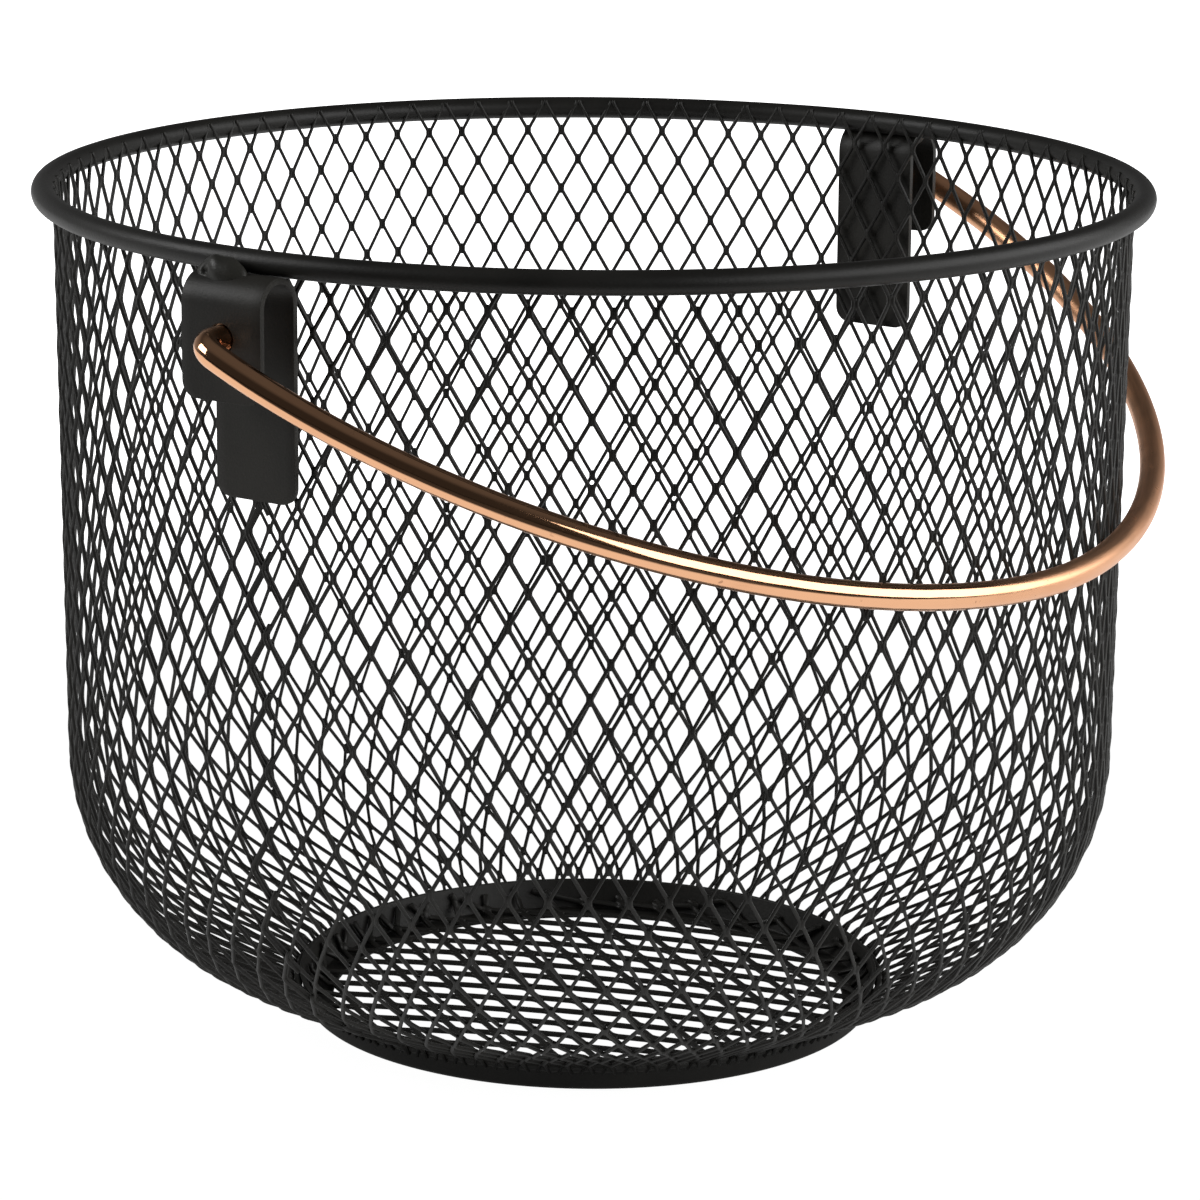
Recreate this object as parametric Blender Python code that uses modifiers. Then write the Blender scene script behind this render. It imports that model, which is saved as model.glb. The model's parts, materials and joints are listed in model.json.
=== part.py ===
"""Round metal basket: an expanded-metal wall and floor on a rim wire and a base ring, with a swinging handle.

The frame: +Z up, the table at z = 0, and the handle's pivot line along X. The handle rests towards -Y.
"""
import math

import bmesh
import bpy
import numpy as np

# Rim wire: a round hoop round the mouth
RIM_RADIUS = 0.1175
RIM_HEIGHT = 0.1826
RIM_WIRE_RADIUS = 0.0025

# Wall: one sheet of expanded metal, rolled into a tube and drawn in at the bottom
WALL_TUCK = 0.0018
WALL_TAPER = 0.0012
CORNER_RADIUS = 0.0513
DISH_ANGLE = math.radians(25.0)
WALL_STRAND = 0.0016
WALL_CELL_WIDTH = 0.0171
WALL_CELL_LENGTH = 0.0286
RING_SHOWING = 0.0046

# Base ring: an upright band outside and a flat flange inside, pressed from one sheet
RING_FOOT_RADIUS = 0.0627
RING_FLARE = 0.0016
RING_HEIGHT = 0.0075
RING_FLANGE = 0.0059
RING_SHEET = 0.0010

# Floor: a flat disc of expanded metal that lies on the ring's flange
FLOOR_STRAND = 0.0011
FLOOR_CELL_WIDTH = 0.0082
FLOOR_CELL_LENGTH = 0.0140
FLOOR_TURN = math.radians(4.0)

# Brackets: straps bent into an upside-down U, the long leg against the wall
STRAP_WIDTH = 0.0195
STRAP_SHEET = 0.0013
BRACKET_DEPTH = 0.0118
LONG_LEG_DROP = 0.0479
SHORT_LEG_DROP = 0.0263
STRAP_CORNER = 0.0035
PIVOT_DROP = 0.0138

# Handle: one round wire whose bent ends turn in the short legs' holes. Its bow is a half ellipse whose cosine and
# sine are raised to the bow's power
HANDLE_WIRE_RADIUS = 0.00275
HANDLE_SIDE_GAP = 0.0043
HANDLE_BEND_RADIUS = 0.0048
HANDLE_REST_ANGLE = math.radians(25.2)
BOW_POWER_SHARE = 1.04
HEAD_OVERHANG = 0.0016
HEAD_THICKNESS = 0.0015
HEAD_SHOULDER = 0.0003
PIVOT_CLEARANCE = 0.0003

# Weld beads between the brackets' bends and the rim wire
BEAD_RADIUS = 0.0014
BEAD_LENGTH = 0.0092

# Gap left between pieces that touch, and how far a cutter runs past what it cuts
SEAT_GAP = 0.0003
CUT_OVERRUN = 0.0020

RIM_SEGMENTS = 80
RIM_SIDES = 8
RING_STEPS = 64
BEND_STEPS = 10
STRAP_CORNER_STEPS = 3
HOLE_SIDES = 20
HANDLE_BEND_STEPS = 6
HANDLE_BOW_STEPS = 48
BEAD_SUBDIVISIONS = 2
CORNER_STEPS = 24
REST_PASSES = 6
MERGE_DISTANCE = 0.000001

# Derived places
STRAND_HALF = WALL_STRAND / 2
PIVOT_HEIGHT = RIM_HEIGHT - PIVOT_DROP
WALL_TOP_RADIUS = RIM_RADIUS - WALL_TUCK - STRAND_HALF
WALL_LOW_RADIUS = WALL_TOP_RADIUS - WALL_TAPER
BRACKET_FACE = WALL_TOP_RADIUS + STRAND_HALF + SEAT_GAP
BRACKET_REACH = BRACKET_FACE + BRACKET_DEPTH
BEND_RADIUS = BRACKET_DEPTH / 2
BEND_CENTRE = BRACKET_FACE + BEND_RADIUS
HANDLE_HALF_WIDTH = BRACKET_REACH + HANDLE_SIDE_GAP + HANDLE_WIRE_RADIUS


def drop_below(across, distance):
    """Height between two centres that are `across` apart level and `distance` apart in all."""
    return math.sqrt(max(distance ** 2 - across ** 2, 0.0))


def ring_outer_radius(height):
    """Outer radius of the base ring's band at a height."""
    return RING_FOOT_RADIUS + RING_FLARE * height / RING_HEIGHT


# The U's bend passes the rim wire with the seat gap between them
BEND_HEIGHT = RIM_HEIGHT - drop_below(BEND_CENTRE - RIM_RADIUS, BEND_RADIUS + RIM_WIRE_RADIUS + SEAT_GAP)
# The wall's top edge tucks up against the rim wire's inner lower side
WALL_TOP_HEIGHT = RIM_HEIGHT - drop_below(RIM_RADIUS - WALL_TOP_RADIUS,
                                          RIM_WIRE_RADIUS + SEAT_GAP + STRAND_HALF)
WALL_END_HEIGHT = RING_SHOWING + STRAND_HALF
WALL_END_RADIUS = ring_outer_radius(WALL_END_HEIGHT) + SEAT_GAP + STRAND_HALF


def new_material(name, colour, roughness, metallic):
    """A Principled material of one colour."""
    material = bpy.data.materials.new(name)
    material.use_nodes = True
    shader = material.node_tree.nodes["Principled BSDF"]
    shader.inputs["Base Color"].default_value = (*colour, 1.0)
    shader.inputs["Roughness"].default_value = roughness
    shader.inputs["Metallic"].default_value = metallic
    material.diffuse_color = (*colour, 1.0)
    return material


def add_object(name, mesh, collection, material):
    """Put a mesh in the scene under a name, with its material."""
    piece = bpy.data.objects.new(name, mesh)
    collection.objects.link(piece)
    mesh.materials.clear()
    mesh.materials.append(material)
    return piece


def adopt(piece, name, collection, material):
    """Name the object that an operator has just added and move it to a collection."""
    for owner in list(piece.users_collection):
        owner.objects.unlink(piece)
    collection.objects.link(piece)
    piece.name = name
    piece.data.name = name
    piece.data.materials.clear()
    piece.data.materials.append(material)
    return piece


def smooth(mesh, angle_degrees=40.0):
    """Shade a mesh smooth, with its sharp edges kept."""
    mesh.shade_smooth()
    mesh.set_sharp_from_angle(angle=math.radians(angle_degrees))


def make_cutter(piece):
    """Show an object as a cutter only."""
    piece.display_type = "WIRE"
    piece.hide_render = True


def wall_profile():
    """Radius and height of the wall's middle surface, from the base ring up to the rim.

    A cone rises from the base ring, a round corner turns it upright, and a slightly tapered wall goes up to
    the rim: two straight lines with a fillet between them, returned as an array of points.
    """
    end = np.array([WALL_END_RADIUS, WALL_END_HEIGHT])
    top = np.array([WALL_TOP_RADIUS, WALL_TOP_HEIGHT])
    knee_height = WALL_END_HEIGHT + (WALL_LOW_RADIUS - WALL_END_RADIUS) * math.tan(DISH_ANGLE)
    knee = np.array([WALL_LOW_RADIUS, knee_height])
    down = (end - knee) / np.linalg.norm(end - knee)
    up = (top - knee) / np.linalg.norm(top - knee)
    half_angle = math.acos(float(np.dot(down, up))) / 2
    room = min(np.linalg.norm(end - knee), np.linalg.norm(top - knee))
    tangent = min(CORNER_RADIUS / math.tan(half_angle), room)
    radius = tangent * math.tan(half_angle)
    middle = down + up
    centre = knee + middle / np.linalg.norm(middle) * (radius / math.sin(half_angle))
    first = knee + down * tangent - centre
    last = knee + up * tangent - centre
    start_angle = math.atan2(first[1], first[0])
    turn = math.atan2(last[1], last[0]) - start_angle
    angles = start_angle + np.linspace(0.0, 1.0, CORNER_STEPS) * turn
    corner = centre + radius * np.stack([np.cos(angles), np.sin(angles)], axis=1)
    return np.vstack([end, corner, top])


def along(points, shares):
    """Points at the given shares of the length of a polyline."""
    steps = np.linalg.norm(np.diff(points, axis=0), axis=1)
    travelled = np.concatenate([[0.0], np.cumsum(steps)])
    travelled = travelled / travelled[-1]
    return np.stack([np.interp(shares, travelled, points[:, 0]), np.interp(shares, travelled, points[:, 1])], axis=1)


def length_of(points):
    """Length of a polyline."""
    return float(np.linalg.norm(np.diff(points, axis=0), axis=1).sum())


def wall_radius_at(height):
    """Outer radius of the wall's strands at a height."""
    profile = wall_profile()
    return float(np.interp(height, profile[:, 1], profile[:, 0])) + STRAND_HALF


def diamond_sheet(columns, rows):
    """A unit square cut into diamonds: a grid is poked, and the grid's own inner edges are dissolved."""
    sheet = bmesh.new()
    bmesh.ops.create_grid(sheet, x_segments=columns, y_segments=rows, size=1.0)
    for vertex in sheet.verts:
        vertex.co = ((vertex.co.x + 1) / 2, (vertex.co.y + 1) / 2, 0)
    grid_edges = [edge for edge in sheet.edges if not edge.is_boundary]
    bmesh.ops.poke(sheet, faces=list(sheet.faces))
    bmesh.ops.dissolve_edges(sheet, edges=grid_edges, use_verts=False)
    return sheet


def add_strands(piece, thickness):
    """Turn the edges of a sheet of diamonds into joined strands."""
    strands = piece.modifiers.new("strands", "WIREFRAME")
    strands.thickness = thickness
    strands.use_replace = True
    strands.use_even_offset = True
    strands.use_boundary = True
    strands.offset = 0.0


def make_rim_ring(collection, material):
    """The hoop of round wire."""
    bpy.ops.mesh.primitive_torus_add(major_segments=RIM_SEGMENTS, minor_segments=RIM_SIDES,
                                     major_radius=RIM_RADIUS, minor_radius=RIM_WIRE_RADIUS,
                                     location=(0, 0, RIM_HEIGHT))
    ring = adopt(bpy.context.object, "rim_ring", collection, material)
    smooth(ring.data)
    return ring


def make_wall_mesh(collection, material):
    """The sheet of diamonds, wrapped round the wall's profile and closed at its seam."""
    profile = wall_profile()
    around = 2 * math.pi * WALL_TOP_RADIUS
    columns = max(12, round(around / WALL_CELL_WIDTH))
    rows = max(3, round(length_of(profile) / WALL_CELL_LENGTH))
    sheet = diamond_sheet(columns, rows)
    turns = np.array([vertex.co.x for vertex in sheet.verts]) * 2 * math.pi
    places = along(profile, np.array([vertex.co.y for vertex in sheet.verts]))
    for vertex, turn, place in zip(sheet.verts, turns, places):
        vertex.co = (place[0] * math.cos(turn), place[0] * math.sin(turn), place[1])
    bmesh.ops.remove_doubles(sheet, verts=sheet.verts, dist=MERGE_DISTANCE)
    seam = [edge for edge in sheet.edges
            if abs(edge.verts[0].co.y) < MERGE_DISTANCE and abs(edge.verts[1].co.y) < MERGE_DISTANCE
            and edge.verts[0].co.x > 0 and not edge.is_boundary]
    bmesh.ops.dissolve_edges(sheet, edges=seam, use_verts=False)
    bmesh.ops.recalc_face_normals(sheet, faces=sheet.faces)
    mesh = bpy.data.meshes.new("wall_mesh")
    sheet.to_mesh(mesh)
    sheet.free()
    wall = add_object("wall_mesh", mesh, collection, material)
    add_strands(wall, WALL_STRAND)
    return wall


def make_base_ring(collection, material):
    """The pressed ring: the outline of its band and flange, turned about Z."""
    hole_radius = RING_FOOT_RADIUS - RING_FLANGE
    outline = [
        (ring_outer_radius(RING_HEIGHT), RING_HEIGHT),
        (RING_FOOT_RADIUS, 0),
        (hole_radius, 0),
        (hole_radius, RING_SHEET),
        (ring_outer_radius(RING_SHEET) - RING_SHEET, RING_SHEET),
        (ring_outer_radius(RING_HEIGHT) - RING_SHEET, RING_HEIGHT),
    ]
    mesh = bpy.data.meshes.new("base_ring")
    corners = [(radius, 0, height) for radius, height in outline]
    links = [(index, (index + 1) % len(corners)) for index in range(len(corners))]
    mesh.from_pydata(corners, links, [])
    ring = add_object("base_ring", mesh, collection, material)
    turned = ring.modifiers.new("turned", "SCREW")
    turned.axis = "Z"
    turned.steps = RING_STEPS
    turned.render_steps = RING_STEPS
    turned.use_merge_vertices = True
    turned.merge_threshold = MERGE_DISTANCE
    turned.use_smooth_shade = False
    return ring


def make_base_mesh(collection, material):
    """The floor's diamonds: whole ones out to the band, with the outermost strands drawn in to fit inside it."""
    height = RING_SHEET + SEAT_GAP + FLOOR_STRAND / 2
    limit = RING_FOOT_RADIUS - RING_SHEET - SEAT_GAP - FLOOR_STRAND
    hole_radius = RING_FOOT_RADIUS - RING_FLANGE
    columns = 2 * math.ceil(limit / FLOOR_CELL_WIDTH) + 2
    rows = 2 * math.ceil(limit / FLOOR_CELL_LENGTH) + 2
    sheet = diamond_sheet(columns, rows)
    cosine, sine = math.cos(FLOOR_TURN), math.sin(FLOOR_TURN)
    for vertex in sheet.verts:
        across = (vertex.co.x - 1 / 2) * columns * FLOOR_CELL_WIDTH
        lengthwise = (vertex.co.y - 1 / 2) * rows * FLOOR_CELL_LENGTH
        vertex.co = (across * cosine - lengthwise * sine, across * sine + lengthwise * cosine, height)
    outside = [face for face in sheet.faces if face.calc_center_median().xy.length > hole_radius]
    bmesh.ops.delete(sheet, geom=outside, context="FACES")
    for vertex in sheet.verts:
        reach = vertex.co.xy.length
        if reach > limit:
            vertex.co.x *= limit / reach
            vertex.co.y *= limit / reach
    mesh = bpy.data.meshes.new("base_mesh")
    sheet.to_mesh(mesh)
    sheet.free()
    floor = add_object("base_mesh", mesh, collection, material)
    add_strands(floor, FLOOR_STRAND)
    return floor


def strap_line():
    """Middle line of the bracket's strap, as distances outwards and heights: up the long leg and over the bend."""
    middle = BEND_RADIUS - STRAP_SHEET / 2
    points = [(BEND_CENTRE - middle, RIM_HEIGHT - LONG_LEG_DROP)]
    for step in range(BEND_STEPS + 1):
        angle = math.pi * (1 - step / BEND_STEPS)
        points.append((BEND_CENTRE + middle * math.cos(angle), BEND_HEIGHT + middle * math.sin(angle)))
    points.append((BEND_CENTRE + middle, RIM_HEIGHT - SHORT_LEG_DROP))
    return points


def make_bracket(name, side, collection, cutters, material):
    """One strap: its line is drawn out to the strap's width, cornered, thickened and drilled."""
    strap = bmesh.new()
    half = STRAP_WIDTH / 2
    edges = []
    last = None
    for outwards, height in strap_line():
        vertex = strap.verts.new((outwards, -half, height))
        if last is not None:
            edges.append(strap.edges.new((last, vertex)))
        last = vertex
    drawn = bmesh.ops.extrude_edge_only(strap, edges=edges)
    moved = [item for item in drawn["geom"] if isinstance(item, bmesh.types.BMVert)]
    bmesh.ops.translate(strap, verts=moved, vec=(0, STRAP_WIDTH, 0))
    corners = [vertex for vertex in strap.verts if len(vertex.link_edges) == 2]
    bmesh.ops.bevel(strap, geom=corners, affect="VERTICES", offset=STRAP_CORNER, segments=STRAP_CORNER_STEPS,
                    profile=0.5)
    bmesh.ops.recalc_face_normals(strap, faces=strap.faces)
    mesh = bpy.data.meshes.new(name)
    strap.to_mesh(mesh)
    strap.free()
    bracket = add_object(name, mesh, collection, material)
    bracket.rotation_euler = (0, 0, 0 if side > 0 else math.pi)
    sheet = bracket.modifiers.new("sheet", "SOLIDIFY")
    sheet.thickness = STRAP_SHEET
    sheet.offset = 0.0

    drill_length = 2 * (STRAP_SHEET + CUT_OVERRUN)
    bpy.ops.mesh.primitive_cylinder_add(vertices=HOLE_SIDES, radius=HANDLE_WIRE_RADIUS + PIVOT_CLEARANCE,
                                        depth=drill_length, rotation=(0, math.pi / 2, 0),
                                        location=(side * BRACKET_REACH, 0, PIVOT_HEIGHT))
    drill = adopt(bpy.context.object, name + "_drill", cutters, material)
    make_cutter(drill)
    hole = bracket.modifiers.new("pivot_hole", "BOOLEAN")
    hole.operation = "DIFFERENCE"
    hole.object = drill
    return bracket


def make_weld(name, side, collection, material):
    """One bead in the valley between the rim wire and the bracket's bend, touching neither."""
    to_rim = RIM_WIRE_RADIUS + SEAT_GAP + BEAD_RADIUS
    to_bend = BEND_RADIUS + SEAT_GAP + BEAD_RADIUS
    across = BEND_CENTRE - RIM_RADIUS
    fall = RIM_HEIGHT - BEND_HEIGHT
    apart = math.hypot(across, fall)
    reach = (to_rim ** 2 - to_bend ** 2 + apart ** 2) / (2 * apart)
    rise = drop_below(reach, to_rim)
    outwards = RIM_RADIUS + (reach * across + rise * fall) / apart
    height = RIM_HEIGHT + (rise * across - reach * fall) / apart
    bead = bmesh.new()
    bmesh.ops.create_icosphere(bead, subdivisions=BEAD_SUBDIVISIONS, radius=1.0)
    for vertex in bead.verts:
        vertex.co = (vertex.co.x * BEAD_RADIUS, vertex.co.y * BEAD_LENGTH / 2, vertex.co.z * BEAD_RADIUS)
    mesh = bpy.data.meshes.new(name)
    bead.to_mesh(mesh)
    bead.free()
    smooth(mesh)
    weld = add_object(name, mesh, collection, material)
    weld.location = (side * outwards, 0, height)
    return weld


def handle_depth():
    """Distance from the pivot line to the wire's middle at the bow, so that the wire rests on the wall."""
    depth = wall_radius_at(PIVOT_HEIGHT)
    for _ in range(REST_PASSES):
        touch_height = PIVOT_HEIGHT - depth * math.sin(HANDLE_REST_ANGLE)
        reach = wall_radius_at(touch_height) + SEAT_GAP + HANDLE_WIRE_RADIUS
        depth = reach / math.cos(HANDLE_REST_ANGLE)
    return depth


def handle_half():
    """Points and thickness shares of the handle's +X half, from the head inside the bracket to the bow's middle."""
    leg_inner = BRACKET_REACH - STRAP_SHEET
    neck = leg_inner - SEAT_GAP
    shoulder = neck - HEAD_SHOULDER
    head_share = (HANDLE_WIRE_RADIUS + HEAD_OVERHANG) / HANDLE_WIRE_RADIUS
    bend = HANDLE_BEND_RADIUS
    points = [(shoulder - HEAD_THICKNESS, 0), (shoulder, 0), (neck, 0)]
    shares = [head_share, head_share, 1.0]
    for step in range(HANDLE_BEND_STEPS):
        angle = math.pi / 2 * step / HANDLE_BEND_STEPS
        points.append((HANDLE_HALF_WIDTH - bend + bend * math.sin(angle), bend - bend * math.cos(angle)))
        shares.append(1.0)
    depth = handle_depth()
    for step in range(HANDLE_BOW_STEPS // 2 + 1):
        angle = math.pi * step / HANDLE_BOW_STEPS
        outwards = HANDLE_HALF_WIDTH * max(math.cos(angle), 0.0) ** BOW_POWER_SHARE
        points.append((outwards, bend + (depth - bend) * math.sin(angle) ** BOW_POWER_SHARE))
        shares.append(1.0)
    return points, shares


def make_handle(collection, material):
    """The bowed wire, with its origin on the pivot line and its bow turned down against the wall."""
    points, shares = handle_half()
    mirrored = [(-outwards, away) for outwards, away in reversed(points[:-1])]
    points = points + mirrored
    shares = shares + list(reversed(shares[:-1]))
    wire = bpy.data.curves.new("handle", "CURVE")
    wire.dimensions = "3D"
    wire.bevel_depth = HANDLE_WIRE_RADIUS
    wire.bevel_resolution = 2
    wire.use_fill_caps = True
    spline = wire.splines.new("POLY")
    spline.points.add(len(points) - 1)
    for point, (outwards, away), share in zip(spline.points, points, shares):
        point.co = (outwards, -away, 0, 1)
        point.radius = share
    wire.materials.append(material)
    handle = bpy.data.objects.new("handle", wire)
    collection.objects.link(handle)
    handle.location = (0, 0, PIVOT_HEIGHT)
    handle.rotation_euler = (HANDLE_REST_ANGLE, 0, 0)
    return handle


def main():
    """Clear the scene and build the basket."""
    for old in list(bpy.data.objects):
        bpy.data.objects.remove(old, do_unlink=True)
    basket = bpy.data.collections.new("basket")
    cutters = bpy.data.collections.new("cutters")
    bpy.context.scene.collection.children.link(basket)
    bpy.context.scene.collection.children.link(cutters)

    wire_black = new_material("wire_black", (0.022, 0.022, 0.021), 0.42, 0.0)
    mesh_black = new_material("mesh_black", (0.020, 0.020, 0.019), 0.50, 0.0)
    strap_black = new_material("strap_black", (0.024, 0.023, 0.022), 0.48, 0.0)
    copper = new_material("copper", (0.87, 0.47, 0.31), 0.20, 1.0)

    make_rim_ring(basket, wire_black)
    make_wall_mesh(basket, mesh_black)
    make_base_ring(basket, wire_black)
    make_base_mesh(basket, mesh_black)
    for name, side in (("left", -1), ("right", 1)):
        make_bracket("bracket_" + name, side, basket, cutters, strap_black)
        make_weld("weld_" + name, side, basket, wire_black)
    make_handle(basket, copper)


main()
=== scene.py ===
"""Looks of a round basket of black expanded metal with a copper-plated swing handle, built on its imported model."""

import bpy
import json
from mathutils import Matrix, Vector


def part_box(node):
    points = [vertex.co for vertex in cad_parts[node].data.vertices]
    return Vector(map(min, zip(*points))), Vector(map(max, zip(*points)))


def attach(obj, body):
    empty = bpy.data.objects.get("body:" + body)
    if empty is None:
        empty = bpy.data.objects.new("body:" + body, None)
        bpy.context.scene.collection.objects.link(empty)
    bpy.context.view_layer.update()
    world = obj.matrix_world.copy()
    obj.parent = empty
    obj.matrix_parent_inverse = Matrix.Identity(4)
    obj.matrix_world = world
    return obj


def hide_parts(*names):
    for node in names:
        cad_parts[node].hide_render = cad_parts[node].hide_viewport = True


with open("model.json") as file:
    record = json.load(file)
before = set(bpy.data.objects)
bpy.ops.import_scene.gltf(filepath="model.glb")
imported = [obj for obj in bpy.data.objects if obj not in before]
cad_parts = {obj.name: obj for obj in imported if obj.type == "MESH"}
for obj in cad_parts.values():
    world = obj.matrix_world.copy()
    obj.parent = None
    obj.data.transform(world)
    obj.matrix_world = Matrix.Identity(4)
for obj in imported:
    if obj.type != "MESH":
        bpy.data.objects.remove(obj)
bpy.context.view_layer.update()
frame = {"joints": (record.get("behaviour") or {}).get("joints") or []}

import json
import logging
import math
from dataclasses import dataclass, field
from enum import Enum
from typing import Callable, Mapping, Optional, Sequence

import bmesh
import bpy
import numpy as np
from mathutils import Matrix
from numpy.typing import NDArray

Array = NDArray[np.float64]
Colour = tuple[float, float, float]
Span = tuple[float, float]
Placed = tuple[Array, Array, Array]
Placer = Callable[[Array, Array], Placed]
Given = Optional[Mapping[object, object]]

log = logging.getLogger("basket")
MM = 0.001
FULL = 2 * math.pi
PHOTO_TURN = math.radians(-55.7)
RIGHT = np.array([math.cos(PHOTO_TURN), math.sin(PHOTO_TURN), 0.0])
AHEAD = np.array([-math.sin(PHOTO_TURN), math.cos(PHOTO_TURN), 0.0])
UP = np.array([0.0, 0.0, 1.0])


class Body(Enum):
    """The two bodies that pieces ride on."""

    BASKET = "basket"
    HANDLE = "handle"


class Slot(Enum):
    """The record's material slots."""

    WIRE = "wire_black"
    MESH = "mesh_black"
    STRAP = "strap_black"
    COPPER = "copper"


@dataclass(frozen=True)
class Socket:
    """A shader's output socket that Python's arithmetic extends with Math nodes."""

    shader: "Shader"
    socket: bpy.types.NodeSocket

    def maths(self, operation: str, *values: "float | Socket") -> "Socket":
        """Add one Math node on the given values.

        Args:
            operation: The Math node's operation.
            values: Its inputs, in order.

        Returns:
            The node's result.
        """
        node = self.shader.node("ShaderNodeMath", {"operation": operation}, dict(enumerate(values)))
        return Socket(self.shader, node.outputs[0])

    def __add__(self, other: "float | Socket") -> "Socket":
        """Sum."""
        return self.maths("ADD", self, other)

    def __radd__(self, other: float) -> "Socket":
        """Sum with the number first."""
        return self.maths("ADD", other, self)

    def __sub__(self, other: "float | Socket") -> "Socket":
        """Difference."""
        return self.maths("SUBTRACT", self, other)

    def __rsub__(self, other: float) -> "Socket":
        """Difference with the number first."""
        return self.maths("SUBTRACT", other, self)

    def __mul__(self, other: "float | Socket") -> "Socket":
        """Product."""
        return self.maths("MULTIPLY", self, other)

    def __rmul__(self, other: float) -> "Socket":
        """Product with the number first."""
        return self.maths("MULTIPLY", other, self)

    def smoothstep(self, low: float, high: float) -> "Socket":
        """Zero below `low`, one above `high` and a smooth rise between them.

        Args:
            low: Where the rise begins.
            high: Where it ends.

        Returns:
            The result, from 0 to 1.
        """
        node = self.shader.node("ShaderNodeMapRange", {"interpolation_type": "SMOOTHSTEP"},
                                {"Value": self, "From Min": low, "From Max": high})
        return Socket(self.shader, node.outputs["Result"])


class Shader:
    """A node tree that is written as expressions."""

    def __init__(self, tree: bpy.types.NodeTree) -> None:
        """Empty a node tree and start on it.

        Args:
            tree: The material's or the world's node tree.
        """
        self.tree = tree
        tree.nodes.clear()

    def node(self, kind: str, settings: Given = None, sockets: Given = None) -> bpy.types.Node:
        """Add a node of any type.

        Args:
            kind: The node's type.
            settings: Its settings, set first.
            sockets: Values or links of its input sockets, by name or by number.

        Returns:
            The new node.
        """
        made = self.tree.nodes.new(kind)
        for name, value in (settings or {}).items():
            setattr(made, name, value)
        for name, value in (sockets or {}).items():
            target = made.inputs[name]
            if isinstance(value, Socket):
                self.tree.links.new(value.socket, target)
            elif isinstance(value, tuple) and target.type == "RGBA":
                target.default_value = (*value, 1.0)
            else:
                target.default_value = value
        return made

    def value(self, kind: str, output: object = 0, settings: Given = None, sockets: Given = None) -> Socket:
        """Add a node and take one of its outputs, by name or by number."""
        return Socket(self, self.node(kind, settings, sockets).outputs[output])

    def noise(self, place: Socket, scale: float, detail: float, roughness: float = 0.5) -> Socket:
        """Smooth noise from 0 to 1 at a place, with `scale` waves a metre."""
        return self.value("ShaderNodeTexNoise", "Fac", None,
                          {"Vector": place, "Scale": scale, "Detail": detail, "Roughness": roughness})

    def mix(self, share: "float | Socket", first: "Colour | Socket", second: "Colour | Socket") -> Socket:
        """A colour between two colours."""
        return self.value("ShaderNodeMix", 2, {"data_type": "RGBA"}, {0: share, 6: first, 7: second})

    def part(self, place: Socket, axis: str) -> Socket:
        """One of a place's three parts."""
        return self.value("ShaderNodeSeparateXYZ", axis, None, {"Vector": place})

    def along(self, place: Socket, way: Array) -> Socket:
        """How far a place lies along a direction."""
        return self.value("ShaderNodeVectorMath", "Value", {"operation": "DOT_PRODUCT"}, {0: place, 1: tuple(way)})

    def seen(self) -> Socket:
        """One where the camera looks straight at it, zero for light and reflections."""
        return self.value("ShaderNodeLightPath", "Is Camera Ray")

    def surface(self, height: Socket, depth: float, strength: float, sockets: Mapping[object, object]) -> None:
        """Link a Principled surface with a fine relief to the output.

        Args:
            height: The relief, from 0 to 1.
            depth: The relief's depth.
            strength: The share of the relief that shows.
            sockets: Values or links of the surface's other sockets.
        """
        bump = self.value("ShaderNodeBump", "Normal", None,
                          {"Height": height, "Distance": depth, "Strength": strength})
        self.finish(self.value("ShaderNodeBsdfPrincipled", 0, None, {**sockets, "Normal": bump}))

    def finish(self, surface: Socket) -> None:
        """Link the surface to the output node."""
        world = isinstance(self.tree.id_data, bpy.types.World)
        self.node("ShaderNodeOutputWorld" if world else "ShaderNodeOutputMaterial", None, {"Surface": surface})


def new_material(name: str) -> tuple[bpy.types.Material, Shader]:
    """Start a material.

    Args:
        name: The material's name.

    Returns:
        The empty material and the shader that fills it.
    """
    made = bpy.data.materials.new(name)
    made.use_nodes = True
    return made, Shader(made.node_tree)


@dataclass(frozen=True)
class PowderCoat:
    """Satin black powder coat: a faint orange peel, uneven gloss and a slight drift of shade."""

    name: str
    slot: Slot
    shade: Colour = (0.0110, 0.0106, 0.0094)
    paler: Colour = (0.0180, 0.0172, 0.0150)
    roughness: float = 0.46
    unevenness: float = 0.14
    gloss: float = 0.26
    peel_scale: float = 1900.0
    peel_depth: float = 0.00004
    drift_scale: float = 55.0
    drift_span: Span = (0.35, 0.70)
    drift_share: float = 0.7
    speck_scale: float = 855.0
    speck_span: Span = (0.62, 0.80)
    speck_share: float = 0.3

    def material(self) -> bpy.types.Material:
        """Build the finish as a material.

        Returns:
            The material, on Object coordinates.
        """
        made, shader = new_material(self.name)
        place = shader.value("ShaderNodeTexCoord", "Object")
        drift = shader.noise(place, self.drift_scale, 3.0)
        grain = shader.noise(place, self.peel_scale, 2.0, 0.6)
        speck = shader.noise(place, self.speck_scale, 1.0)
        paler = drift.smoothstep(*self.drift_span) * self.drift_share
        paler = paler + speck.smoothstep(*self.speck_span) * self.speck_share
        rough = self.roughness + (drift - 0.5) * self.unevenness + (grain - 0.5) * self.unevenness
        shader.surface(grain, self.peel_depth, 1.0, {"Base Color": shader.mix(paler, self.shade, self.paler),
                                                     "Roughness": rough, "Specular IOR Level": self.gloss})
        return made


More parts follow.
